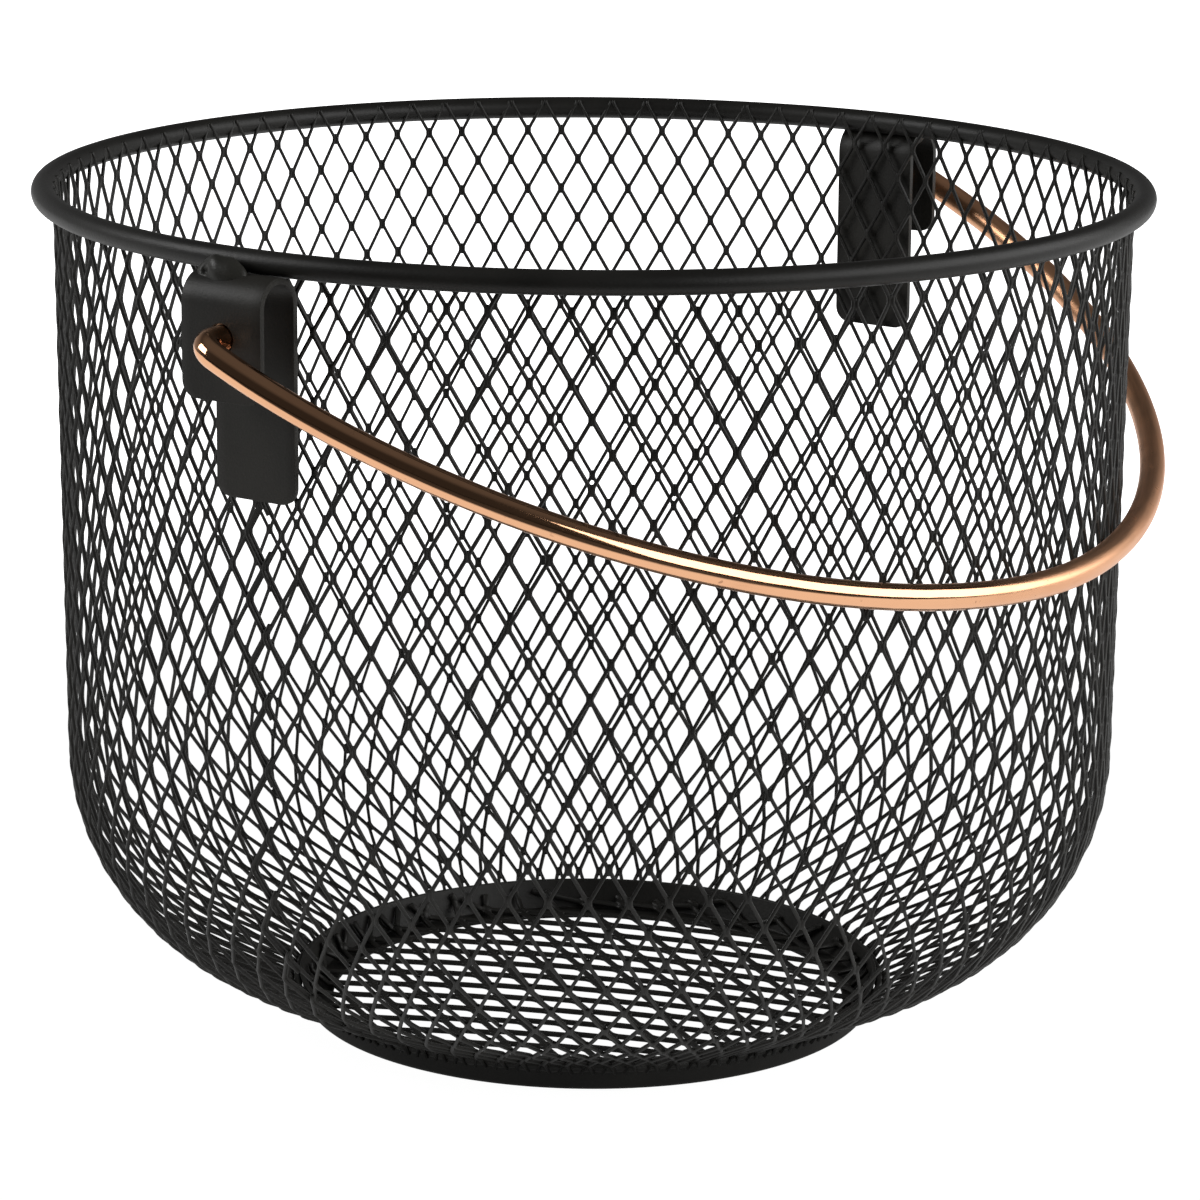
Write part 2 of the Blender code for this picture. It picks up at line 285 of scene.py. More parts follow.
@dataclass(frozen=True)
class CopperPlate:
    """Bright copper plating on drawn wire: fine draw lines, soft haze, small brown blemishes, and a stretch that is
    rougher from wear and browner, the browning partly wear and partly painted shade.

    The wire's attribute `strip` holds each point's place on the wire rolled out straight, with its distance from
    the left head first. Each pair is the noise, or the distance, where a mark begins and where it is full.
    """

    name: str = "copper_plate"
    slot: Slot = Slot.COPPER
    bright: Colour = (0.850, 0.465, 0.265)
    tarnish_and_shade: Colour = (0.470, 0.200, 0.105)
    blemish: Colour = (0.180, 0.075, 0.040)
    roughness: float = 0.095
    relief_depth: float = 0.00002
    relief_strength: float = 0.65
    spot_relief: float = 0.6
    line_stretch: float = 0.06
    line_scale: float = 1500.0
    line_span: Span = (0.55, 0.80)
    line_tarnish: float = 0.12
    line_roughness: float = 0.07
    haze_scale: float = 45.0
    haze_span: Span = (0.48, 0.75)
    haze_tarnish: float = 0.18
    haze_roughness: float = 0.06
    # Past these distances the plating is rougher from wear and browner; the browning is partly wear and partly
    # painted shade.
    wear_and_shade: Span = (0.172, 0.222)
    wear_and_shade_haze: float = 0.35
    wear_and_shade_haze_span: Span = (0.35, 0.65)
    wear_and_shade_haze_rise: float = 0.9
    wear_and_shade_browning: float = 0.05
    worn_roughness: float = 0.23
    worn_line_roughness: float = 0.12
    spot_scale: float = 520.0
    spot_span: Span = (0.66, 0.74)
    spot_haze_span: Span = (0.40, 0.62)
    spot_share: float = 0.75
    spot_roughness: float = 0.25

    def material(self) -> bpy.types.Material:
        """Build the finish as a material.

        Returns:
            The material, on the `strip` attribute.
        """
        made, shader = new_material(self.name)
        strip = shader.value("ShaderNodeAttribute", "Vector", {"attribute_name": "strip"})
        drawn = shader.value("ShaderNodeVectorMath", 0, {"operation": "MULTIPLY"},
                             {0: strip, 1: (self.line_stretch, 1.0, 1.0)})
        lines = shader.noise(drawn, self.line_scale, 3.0, 0.6)
        haze = shader.noise(strip, self.haze_scale, 3.0, 0.6)
        spots = shader.noise(strip, self.spot_scale, 2.0, 0.7)
        # Past these distances along the wire the plating is rougher from wear and browner; the browning is partly
        # wear and partly painted shade.
        wear_and_shade = shader.part(strip, "X").smoothstep(*self.wear_and_shade)
        dull_and_shaded = (haze.smoothstep(*self.haze_span) * (1 - wear_and_shade)
                + wear_and_shade * (self.wear_and_shade_haze + haze.smoothstep(*self.wear_and_shade_haze_span) * self.wear_and_shade_haze_rise))
        spotted = spots.smoothstep(*self.spot_span) * haze.smoothstep(*self.spot_haze_span)
        tarnish_and_shade_share = (dull_and_shaded * self.haze_tarnish + wear_and_shade * self.wear_and_shade_browning
                     + lines.smoothstep(*self.line_span) * self.line_tarnish)
        colour = shader.mix(spotted * self.spot_share, shader.mix(tarnish_and_shade_share, self.bright, self.tarnish_and_shade),
                            self.blemish)
        rough = (self.roughness + dull_and_shaded * self.haze_roughness + wear_and_shade * self.worn_roughness
                 + spotted * self.spot_roughness
                 + (lines - 0.5) * (self.line_roughness + wear_and_shade * self.worn_line_roughness))
        shader.surface(lines + spots * self.spot_relief, self.relief_depth, self.relief_strength,
                       {"Base Color": colour, "Roughness": rough, "Metallic": 1.0})
        return made


@dataclass
class Shell:
    """Collects closed tubes of points and turns them into one mesh."""

    points: list[Array] = field(default_factory=list)
    corners: list[NDArray[np.int64]] = field(default_factory=list)
    sizes: list[NDArray[np.int64]] = field(default_factory=list)
    count: int = 0

    def add_tubes(self, points: Array, hoop: bool = False) -> None:
        """Add tubes whose rings of points turn anticlockwise about the way that the tube runs.

        Each ring is joined to the next by four-sided faces, and the first and last rings are capped, or
        joined to each other where the tube is a hoop.

        Args:
            points: Places by tube, ring and side.
            hoop: Whether each tube closes on itself.
        """
        tubes, rings, sides = points.shape[:3]
        index = np.arange(tubes * rings * sides).reshape(tubes, rings, sides) + self.count
        self.count += index.size
        self.points.append(points.reshape(-1, 3))
        here = index if hoop else index[:, :-1]
        there = np.roll(index, -1, axis=1) if hoop else index[:, 1:]
        quads = np.stack([here, np.roll(here, -1, axis=2), np.roll(there, -1, axis=2), there], axis=-1)
        self.corners.append(quads.reshape(-1))
        self.sizes.append(np.full(quads.size // 4, 4))
        if not hoop:
            caps = np.concatenate([index[:, 0, ::-1], index[:, -1]])
            self.corners.append(caps.reshape(-1))
            self.sizes.append(np.full(len(caps), sides))

    def mesh(self, name: str) -> bpy.types.Mesh:
        """Turn what was collected into a smooth-shaded mesh.

        Args:
            name: The mesh's name.

        Returns:
            The mesh.
        """
        points = np.concatenate(self.points).astype(np.float32)
        corners = np.concatenate(self.corners).astype(np.int32)
        sizes = np.concatenate(self.sizes).astype(np.int32)
        starts = np.concatenate([[0], np.cumsum(sizes)[:-1]]).astype(np.int32)
        made = bpy.data.meshes.new(name)
        made.vertices.add(len(points))
        made.vertices.foreach_set("co", points.ravel())
        made.loops.add(len(corners))
        made.loops.foreach_set("vertex_index", corners)
        made.polygons.add(len(sizes))
        made.polygons.foreach_set("loop_start", starts)
        made.update(calc_edges=True)
        made.validate()
        made.shade_smooth()
        return made


def unit(vectors: Array) -> Array:
    """Vectors scaled to length one along the last axis."""
    return vectors / np.maximum(np.linalg.norm(vectors, axis=-1, keepdims=True), 1e-12)


def circle(steps: int) -> Array:
    """Angles all round, evenly spaced from zero."""
    return np.linspace(0, FULL, steps, endpoint=False)


def about_axis(radius: Array, height: Array, angle: Array) -> Array:
    """Places by radius, height and angle about Z."""
    return np.stack([radius * np.cos(angle), radius * np.sin(angle), height + 0 * angle], axis=-1)


def hinge() -> Array:
    """The place that the handle swings about."""
    return np.array(next(joint["pos_m"] for joint in frame["joints"] if joint["name"] == "handle_swing"), float)


def walked(line: Array) -> Array:
    """Each point's distance along a line."""
    return np.concatenate([[0.0], np.cumsum(np.linalg.norm(np.diff(line, axis=0), axis=1))])


def sided(name: str, side: int) -> str:
    """A name with its side: left where `side` is negative."""
    return name + ("_left" if side < 0 else "_right")


def rounded_path(corners: Sequence[Span], radii: Sequence[float], steps: int, closed: bool = False) -> Array:
    """Straight lines through corners with an arc of its own radius at each corner.

    An arc of radius r at a corner whose sides meet at the angle 2a starts r / tan(a) before the corner, and its
    centre is r / sin(a) from it on the bisector.

    Args:
        corners: The corners.
        radii: One radius a corner; zero keeps it sharp.
        steps: Steps in each arc.
        closed: Whether the last corner joins the first.

    Returns:
        The path's points.
    """
    points = np.asarray(corners, float)
    path: list[Array] = []
    for place, radius in enumerate(radii):
        corner = points[place]
        ends = not closed and place in (0, len(points) - 1)
        if ends or radius == 0:
            path.append(corner[None])
            continue
        back = unit(points[place - 1] - corner)
        ahead = unit(points[(place + 1) % len(points)] - corner)
        half = math.acos(float(np.clip(back @ ahead, -1, 1))) / 2
        centre = corner + unit(back + ahead) * radius / math.sin(half)
        first = corner + back * radius / math.tan(half) - centre
        last = corner + ahead * radius / math.tan(half) - centre
        start = math.atan2(first[1], first[0])
        turn = (math.atan2(last[1], last[0]) - start + math.pi) % FULL - math.pi
        angles = start + turn * np.linspace(0, 1, steps + 1)
        path.append(centre + radius * np.stack([np.cos(angles), np.sin(angles)], axis=1))
    return np.concatenate(path)


@dataclass
class Rail:
    """A line in a plane that is walked by distance, with its direction at each place."""

    line: Array
    step: float = 0.25 * MM
    marks: Array = field(init=False)
    places: Array = field(init=False)
    ways: Array = field(init=False)

    def __post_init__(self) -> None:
        """Space points evenly along the line and take their directions."""
        gone = walked(self.line)
        self.marks = np.linspace(0.0, gone[-1], int(gone[-1] / self.step) + 1)
        self.places = self.read(self.marks, gone, self.line)
        self.ways = unit(np.gradient(self.places, axis=0))

    @staticmethod
    def read(distance: Array, marks: Array, values: Array) -> Array:
        """Two-part values between marks."""
        return np.stack([np.interp(distance, marks, values[:, axis]) for axis in (0, 1)], axis=-1)

    def at(self, distance: Array) -> tuple[Array, Array]:
        """Places and directions at distances along the line."""
        return self.read(distance, self.marks, self.places), unit(self.read(distance, self.marks, self.ways))


def turned_points(outline: Array, steps: int) -> Array:
    """Turn a closed outline of (radius, height) points about Z.

    Args:
        outline: The outline; it may run either way.
        steps: Steps round the circle.

    Returns:
        One hoop's points, by ring and side.
    """
    radius, height = outline.T
    if np.sum(radius * np.roll(height, -1) - np.roll(radius, -1) * height) > 0:
        outline = outline[::-1]
    return about_axis(outline[None, :, 0], outline[None, :, 1], circle(steps)[:, None])[None]


def show(name: str, mesh: bpy.types.Mesh, finish: "PowderCoat | CopperPlate", body: Body, *nodes: str) -> None:
    """Put a finished mesh in the scene as a piece; pieces with the same finish share its material.

    Args:
        name: The piece's name.
        mesh: Its mesh, already in place.
        finish: Its finish, which also says the record's slot.
        body: The body that it rides on.
        nodes: The CAD nodes that it stands for.
    """
    piece = bpy.data.objects.new(name, mesh)
    bpy.context.scene.collection.objects.link(piece)
    mesh.materials.clear()
    mesh.materials.append(bpy.data.materials.get(finish.name) or finish.material())
    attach(piece, body.value)
    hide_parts(*nodes)
    mesh.calc_loop_triangles()
    log.info("%s: %d triangles", name, len(mesh.loop_triangles))


def show_hoop(name: str, points: Array, finish: PowderCoat, node: str) -> None:
    """Close rings of points into one hoop and put it in the scene as a piece of the basket.

    Args:
        name: The piece's name.
        points: The rings, as `Shell.add_tubes` takes them.
        finish: The piece's finish.
        node: The node that it replaces.
    """
    shell = Shell()
    shell.add_tubes(points, hoop=True)
    show(name, shell.mesh(name), finish, Body.BASKET, node)


@dataclass(frozen=True)
class ExpandedMetal:
    """Expanded metal as the ribbons that its slits leave standing side by side.

    Ribbon m runs between the slit columns m and m + 1. At every half row it is bonded to a neighbour: to the one
    on its left where the row's number plus m is even, and else to the one on its right. Between bonds it crosses
    to the other column. All strands lean the same way round the slits' direction.
    """

    strand: float = 0.71 * MM
    gauge: float = 0.80 * MM
    chamfer: float = 0.15 * MM
    lean: float = math.radians(24.0)
    bond_lap: float = 1.04
    bond_half_length: float = 0.28 * MM
    bend_length: float = 0.62 * MM
    bend_marks: tuple[float, ...] = (0.0, 0.45, 1.0)
    web_half_length: float = 1.18 * MM
    web_blunt: float = 0.86
    web_depth: float = 0.86
    web_widths: Span = (0.72, 1.25)

    def bend_rise(self, away: Array) -> Array:
        """How far a strand has left its bond at a distance from the bond's middle, for a slope of one.

        Nothing within the bond, then a parabola over the bend's length, then a straight line.
        """
        gone = np.clip(away - self.bond_half_length, 0, self.bend_length)
        return gone ** 2 / (2 * self.bend_length) + np.maximum(away - self.bond_half_length - self.bend_length, 0)

    def ribbon(self, parity: int, rows: Array, start: float, end: float) -> Placed:
        """The way of one ribbon between two cuts.

        Args:
            parity: The ribbon's number, of which only odd or even counts.
            rows: Distances of the rows of bonds along the slits.
            start: Distance of the upper cut.
            end: Distance of the lower cut.

        Returns:
            Distances of the rings, the share of a column that each has crossed, and the side of its bond that it
            keeps to (1 right, -1 left).
        """
        bend = self.bond_half_length + self.bend_length * np.array(self.bend_marks)
        offsets = np.concatenate([-bend[::-1], bend])
        spots = (rows[:, None] + offsets).ravel()
        row = np.repeat(np.arange(len(rows)), len(offsets))
        side = np.where((row + parity) % 2 == 0, 1.0, -1.0)
        after = np.diff(rows, append=2 * rows[-1] - rows[-2])[row]
        before = np.diff(rows, prepend=2 * rows[0] - rows[1])[row]
        away = np.tile(offsets, len(rows))
        gap = np.where(away > 0, after, before)
        share = self.bend_rise(np.abs(away)) / (2 * self.bend_rise(gap / 2))
        crossed = (1 - side) / 2 + side * share
        kept = side * (1 - 2 * share)
        marks = np.unique(np.clip(np.concatenate([[start], spots, [end]]), start, end))
        return marks, np.interp(marks, spots, crossed), np.interp(marks, spots, kept)

    def section(self, width: float = 1.0, depth: float = 1.0) -> Array:
        """A strand's section: a bar with broken edges, anticlockwise; x is its depth and y its width.

        Args:
            width: Share of the strand's full width.
            depth: Share of the sheet's full thickness.

        Returns:
            The section's eight corners.
        """
        half, flat, cut = self.gauge * depth / 2, self.strand * width / 2, self.chamfer
        return np.array([(half, cut - flat), (half, flat - cut), (half - cut, flat), (cut - half, flat),
                         (-half, flat - cut), (-half, cut - flat), (cut - half, -flat), (half - cut, -flat)])

    def sweep(self, centre: Array, depth: Array, bar: Array) -> Array:
        """Carry a section along lines, square to each line.

        Args:
            centre: Places by line and ring.
            depth: The direction of the section's depth at each place.
            bar: The section's points, by ring or one for all.

        Returns:
            Points by line, ring and side.
        """
        tangent = unit(np.gradient(centre, axis=1))
        deep = unit(depth - tangent * np.sum(depth * tangent, axis=-1, keepdims=True))
        wide = np.cross(tangent, deep)
        return centre[:, :, None] + deep[:, :, None] * bar[..., 0, None] + wide[:, :, None] * bar[..., 1, None]

    def tubes(self, place: Placer, ribbons: Array, way: Placed, width: float = 1.0) -> Array:
        """Carry the strand's section along ribbons, each half a strand beside its bond's middle.

        Args:
            place: Gives, for columns and distances, the sheet's places and its right and out directions.
            ribbons: The ribbons' numbers.
            way: What `ribbon` returned.
            width: The section's width as a share of the strand's.

        Returns:
            Points by ribbon, ring and side.
        """
        marks, crossed, kept = way
        spot, right, out = place(ribbons[:, None] + crossed, marks + 0 * ribbons[:, None])
        cosine, sine = math.cos(self.lean), math.sin(self.lean)
        reach = (kept * self.bond_lap * self.strand / 2)[None, :, None]
        return self.sweep(spot + (right * cosine + out * sine) * reach, out * cosine - right * sine,
                          self.section(width))

    def webs(self, place: Placer, columns: Array, distance: Array) -> Array:
        """The coat that fills the notches above and below bonds: short blunt bars.

        Args:
            place: The same as for `tubes`.
            columns: The bonds' columns.
            distance: The bonds' distances along the slits, one each.

        Returns:
            Points by bond, ring and side.
        """
        marks = self.web_half_length * np.array([-1.0, -self.web_blunt, self.web_blunt, 1.0])
        tip, middle = self.web_widths
        spot, right, out = place(columns[:, None] + 0 * marks, distance[:, None] + marks)
        bar = np.stack([self.section(share, self.web_depth) for share in (tip, middle, middle, tip)])
        cosine, sine = math.cos(self.lean), math.sin(self.lean)
        return self.sweep(spot, out * cosine - right * sine, bar)


@dataclass
class WallSheet:
    """The wall: expanded metal rolled round the basket, lapped at its seam and drawn in to the base ring."""

    metal: ExpandedMetal = ExpandedMetal()
    finish: PowderCoat = PowderCoat("powder_coat_mesh", Slot.MESH)
    columns: int = 178
    first_turn: float = math.radians(-182.15)
    weld_radius: float = 115.75 * MM
    weld_height: float = 184.6 * MM
    top_radius: float = 114.92 * MM
    low_radius: float = 113.70 * MM
    top_height: float = 182.4 * MM
    weld_bend: float = 2.5 * MM
    low_height: float = 61.3 * MM
    corner_radius: float = 50.7 * MM
    corner_steps: int = 48
    dish_angle: float = math.radians(25.0)
    foot_radius: float = 65.0 * MM
    foot_height: float = 4.6 * MM
    foot_bend: float = 3.0 * MM
    cone_end_height: float = 6.2 * MM
    row_pitch: float = 6.98 * MM
    first_row: float = 7.09 * MM
    front_drop: float = 1.5 * MM
    lap_lift: float = 0.34 * MM
    lap_columns: int = 6
    lap_slip: float = 0.30 * MM
    sway: Span = (math.radians(0.463), math.radians(0.220))
    sway_start: float = math.radians(-35.0)
    sway_mean: float = math.radians(0.054)
    stub_share: float = 0.46
    stub_span: Span = (0.75, 1.1)
    burr_share: float = 0.16
    burr_span: Span = (0.3, 1.4)
    burr_width: float = 0.55
    weld_line: Span = (64.75 * MM, 5.70 * MM)
    weld_size: Span = (0.75 * MM, 0.95 * MM)
    weld_swells: Span = (0.14, 0.08)
    weld_waves: tuple[int, int, int] = (61, 23, 7)
    weld_steps: int = 480
    weld_sides: int = 12
    seed: int = 7

    def rail(self) -> Rail:
        """The wall's middle line: out of the rim wire, down a straight side, round the corner, in along a cone and
        down onto the base ring's band.

        Returns:
            The line, from the sheet's top edge to its bottom edge.
        """
        slope = (self.top_radius - self.low_radius) / (self.top_height - self.low_height)
        run = 1 / math.tan(self.dish_angle)
        knee_height = ((self.low_radius - self.foot_radius + run * self.cone_end_height - slope * self.low_height)
                       / (run - slope))
        knee = (self.low_radius + slope * (knee_height - self.low_height), knee_height)
        corners = [(self.weld_radius, self.weld_height), (self.top_radius, self.top_height), knee,
                   (self.foot_radius, self.cone_end_height), (self.foot_radius, self.foot_height)]
        return Rail(rounded_path(corners, [0, self.weld_bend, self.corner_radius, self.foot_bend, 0],
                                 self.corner_steps))

    def rows(self, rail: Rail) -> Array:
        """Distances of the rows of bonds: strands keep their length, so rows open as the columns close up.

        Args:
            rail: The wall's rail.

        Returns:
            The rows' distances along the rail.
        """
        pitch = FULL / self.columns
        strand = math.hypot(self.row_pitch, pitch * self.top_radius)
        places = [self.first_row - self.row_pitch, self.first_row]
        while places[-1] < rail.marks[-1] + 2 * self.row_pitch:
            radius = rail.at(np.array(places[-1]))[0][0]
            places.append(places[-1] + math.sqrt(strand ** 2 - (pitch * float(radius)) ** 2))
        return np.array(places)

    def place(self, rail: Rail, slip: float = 0.0) -> Placer:
        """How a flat place on the sheet comes to lie in the wall.

        The column gives the angle, with a slow sway of two waves round the wall. The distance gives the place on
        the rail, and the rows lie a little lower at the front.

        Args:
            rail: The wall's rail.
            slip: Distance to the right.

        Returns:
            The function that `ExpandedMetal.tubes` asks for.
        """
        def put(column: Array, distance: Array) -> Placed:
            """Places of columns and distances, with the sheet's right and out directions.

            Args:
                column: Columns of the places.
                distance: Their distances down the sheet.

            Returns:
                The places, and the sheet's right and out directions there.
            """
            wave = FULL * column / self.columns
            angle = (self.first_turn + wave + self.sway_mean + self.sway[0] * np.sin(wave + self.sway_start)
                     + self.sway[1] * np.cos(2 * wave))
            drop = self.front_drop * (1 - np.sin(angle - PHOTO_TURN)) / 2
            spot, way = rail.at(distance + drop)
            radius, height = spot[..., 0], spot[..., 1]
            angle = angle + slip / radius
            right = about_axis(np.ones_like(angle), 0 * angle, angle + math.pi / 2)
            out = about_axis(-way[..., 1], way[..., 0], angle)
            return about_axis(radius, height, angle) + out * self.lift(column)[..., None], right, out
        return put

    def lift(self, column: Array) -> Array:
        """The sheet's right end lies under its left end: the two part over a few columns each side of the seam.

        Args:
            column: Columns of places on the sheet.

        Returns:
            How far outwards each place is moved.
        """
        under = np.clip(1 - column / self.lap_columns, 0, 1)
        over = np.clip(1 - (self.columns - column) / self.lap_columns, 0, 1)
        return self.lap_lift * (over - under)

    def build(self) -> None:
        """Make the wall in four quarters, its seam and the weld at its foot."""
        rail = self.rail()
        rows = self.rows(rail)
        put = self.place(rail)
        start, end = 0.0, rail.marks[-1] - self.front_drop
        half = self.columns // 2
        quarter = self.columns // 4
        for name, first, last in (("wall_sheet_front", 0, quarter), ("wall_sheet_right", quarter, half),
                                  ("wall_sheet_back", half, half + quarter),
                                  ("wall_sheet_left", half + quarter, self.columns)):
            shell = Shell()
            for parity in (0, 1):
                ribbons = np.arange(first + (first + parity) % 2, last, 2).astype(float)
                shell.add_tubes(self.metal.tubes(put, ribbons, self.metal.ribbon(parity, rows, start, end)))
            column, row = np.meshgrid(np.arange(max(first, 1), last), np.arange(len(rows)), indexing="ij")
            bonded = (((row + column) % 2 == 0) & (rows[row] > start + self.metal.web_half_length)
                      & (rows[row] < end - self.metal.web_half_length))
            shell.add_tubes(self.metal.webs(put, column[bonded].astype(float), rows[row[bonded]]))
            show(name, shell.mesh(name), self.finish, Body.BASKET, "wall_mesh")
        self.seam(rail, rows, start, end)
        self.foot_weld()

    def foot_weld(self) -> None:
        """The uneven line of weld and coat that closes the wall's lower edge onto the base ring's band.

        A hoop with an oval section whose size swells and shrinks with two waves of the angle. A third, slower
        wave shifts the first to and fro.
        """
        angle = circle(self.weld_steps)[:, None]
        around = -circle(self.weld_sides)[None]
        large, small = self.weld_swells
        fast, slow, drift = self.weld_waves
        swell = 1 + large * np.sin(fast * angle + 2 * np.sin(drift * angle)) + small * np.sin(slow * angle)
        radius = self.weld_line[0] + self.weld_size[0] * swell * np.cos(around)
        height = self.weld_line[1] + self.weld_size[1] * swell * np.sin(around)
        show_hoop("wall_foot_weld", about_axis(radius, height, angle)[None], self.finish, "wall_mesh")

    def seam(self, rail: Rail, rows: Array, start: float, end: float) -> None:
        """The sheet's lapped end, with the cut stubs and burrs that both edges show.

        Args:
            rail: The wall's rail.
            rows: Distances of the rows of bonds.
            start: Distance of the upper cut.
            end: Distance of the lower cut.
        """
        random = np.random.default_rng(self.seed)
        under, over = self.place(rail), self.place(rail, -self.lap_slip)
        shell = Shell()
        last = float(self.columns)
        shell.add_tubes(self.metal.tubes(over, np.array([last]),
                                         self.metal.ribbon(self.columns, rows, start, end)))
        for row, distance in enumerate(rows):
            if not start + self.row_pitch / 2 < distance < end - self.row_pitch / 2:
                continue
            if (row + self.columns + 1) % 2 == 0:
                reach = self.row_pitch * self.stub_share * random.uniform(*self.stub_span, 2)
                way = self.metal.ribbon(self.columns + 1, rows, distance - reach[0], distance + reach[1])
                shell.add_tubes(self.metal.tubes(over, np.array([last + 1]), way))
            else:
                burr = self.row_pitch * self.burr_share * random.uniform(*self.burr_span, 2)
                reach = self.metal.bond_half_length + burr
                way = self.metal.ribbon(-1, rows, distance - reach[0], distance + reach[1])
                shell.add_tubes(self.metal.tubes(under, np.array([-1.0]), way, self.burr_width))
        show("wall_seam", shell.mesh("wall_seam"), self.finish, Body.BASKET, "wall_mesh")


@dataclass
class FloorSheet:
    """The floor: a disc of a heavier expanded metal on the base ring's flange, its edge turned up in the ring."""

    metal: ExpandedMetal = ExpandedMetal(strand=1.20 * MM, gauge=0.90 * MM, chamfer=0.18 * MM,
                                         lean=math.radians(-11.0), bond_half_length=0.30 * MM,
                                         bend_length=0.80 * MM, web_half_length=1.35 * MM)
    finish: PowderCoat = PowderCoat("powder_coat_floor", Slot.MESH)
    radius: float = 65.6 * MM
    height: float = 2.0 * MM
    edge_start: float = 59.5 * MM
    edge_bend: float = 2.0 * MM
    edge_turn: float = math.radians(78.0)
    column_pitch: float = 4.62 * MM
    row_pitch: float = 7.28 * MM
    turn: float = math.radians(84.8)
    shift: Span = (0.39 * MM, 3.93 * MM)
    bow: float = 1.3
    spare_rows: int = 3
    walk_reach: float = 1.2
    walk_steps: int = 961

    @property
    def right(self) -> Array:
        """The direction across the slits."""
        return np.array([math.sin(self.turn), -math.cos(self.turn), 0.0])

    def flat(self, column: Array, distance: Array) -> Array:
        """Places on the flat disc: columns go across and distances along the slits.

        The sheet was drawn to one side as it was pressed: places move by the bow times the square of their
        distance from the middle line.

        Args:
            column: Columns of the places.
            distance: Their distances along the slits.

        Returns:
            The places.
        """
        along = np.array([-math.cos(self.turn), -math.sin(self.turn), 0.0])
        spot = ((column * self.column_pitch + self.shift[0])[..., None] * self.right
                + (distance + self.shift[1])[..., None] * along)
        return spot - (self.bow * (spot @ RIGHT) ** 2)[..., None] * AHEAD

    def put(self, column: Array, distance: Array) -> Placed:
        """Places on the pressed disc, with its right and out directions.

        What lies past the edge's start goes round a bend and then straight up the inside of the ring's band, and
        its directions turn with it.

        Args:
            column: Columns of the places.
            distance: Their distances along the slits.

        Returns:
            The places, and the sheet's right and out directions there.
        """
        spot = self.flat(column, distance)
        far = np.hypot(spot[..., 0], spot[..., 1])[..., None]
        radial = spot / np.maximum(far, MM)
        past = np.maximum(far - self.edge_start, 0)
        turn = np.minimum(past / self.edge_bend, self.edge_turn)
        rest = past - turn * self.edge_bend
        cosine, sine = np.cos(turn), np.sin(turn)
        reach = np.minimum(far, self.edge_start) + self.edge_bend * sine + rest * cosine
        rise = self.height + self.edge_bend * (1 - cosine) + rest * sine
        share = np.sum(self.right * radial, axis=-1, keepdims=True)
        return (radial * reach + UP * rise, self.right + share * (radial * (cosine - 1) + UP * sine),
                radial * sine - UP * cosine)

    def build(self) -> None:
        """Make the disc, each ribbon cut where it meets the edge."""
        count = math.ceil(self.radius / self.row_pitch) + self.spare_rows
        rows = np.arange(-count, count + 1) * self.row_pitch
        wide = math.ceil(self.radius / self.column_pitch) + 1
        walk = np.linspace(-self.walk_reach, self.walk_reach, self.walk_steps) * self.radius
        shell = Shell()
        for ribbon in range(-wide, wide):
            spot = self.flat(ribbon + np.array([[0.0], [1.0]]), walk + np.zeros((2, 1)))
            inside = walk[(np.hypot(spot[..., 0], spot[..., 1]) < self.radius).all(axis=0)]
            if len(inside) < 2 or inside[-1] - inside[0] < self.row_pitch / 2:
                continue
            way = self.metal.ribbon(ribbon + count, rows, inside[0], inside[-1])
            shell.add_tubes(self.metal.tubes(self.put, np.array([float(ribbon)]), way))
        column, row = np.meshgrid(np.arange(-wide, wide + 1), np.arange(len(rows)), indexing="ij")
        spot = self.flat(column.astype(float), rows[row])
        bonded = (row + column + count) % 2 == 0
        bonded &= np.hypot(spot[..., 0], spot[..., 1]) < self.radius - self.metal.web_half_length
        shell.add_tubes(self.metal.webs(self.put, column[bonded].astype(float), rows[row[bonded]]))
        show("floor_sheet", shell.mesh("floor_sheet"), self.finish, Body.BASKET, "base_mesh")


@dataclass
class RimHoop:
    """The rim: round wire bent into a hoop and butt-welded."""

    # The rim's coat is the same black powder coat as the ring's, set darker as painted shade.
    finish: PowderCoat = PowderCoat("powder_coat_wire_painted_darker", Slot.WIRE, shade=(0.0085, 0.0081, 0.0071),
                                    paler=(0.0150, 0.0143, 0.0124))
    steps: int = 288
    sides: int = 28

    def build(self) -> None:
        """Make the hoop where the frame has it: a circle turned about Z."""
        low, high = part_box("rim_ring")
        wire = (high.z - low.z) / 2
        angle = circle(self.sides)
        outline = np.stack([high.x - wire + wire * np.cos(angle), (high.z + low.z) / 2 + wire * np.sin(angle)],
                           axis=1)
        show_hoop("rim_hoop", turned_points(outline, self.steps), self.finish, "rim_ring")


@dataclass
class FootRing:
    """The base ring: a pressed ring with a flared band and a flat flange, its bends rounded."""

    finish: PowderCoat = PowderCoat("powder_coat_ring", Slot.WIRE)
    sheet: float = 1.0 * MM
    flare: float = 1.6 * MM
    flange: float = 5.9 * MM
    bend_radius: float = 1.5 * MM
    edge_radius: float = 0.35 * MM
    arc_steps: int = 5
    steps: int = 240

    def build(self) -> None:
        """Make the ring where the frame has it: its rounded outline turned about Z."""
        low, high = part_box("base_ring")
        foot = high.x - self.flare
        hole = foot - self.flange
        corners = [(high.x, high.z), (foot, low.z), (hole, low.z), (hole, low.z + self.sheet),
                   (foot - self.sheet, low.z + self.sheet), (high.x - self.sheet, high.z)]
        edge = self.edge_radius
        outline = rounded_path(corners, [edge, self.bend_radius, edge, edge, self.bend_radius - self.sheet, edge],
                               self.arc_steps, closed=True)
        show_hoop("foot_ring", turned_points(outline, self.steps), self.finish, "base_ring")


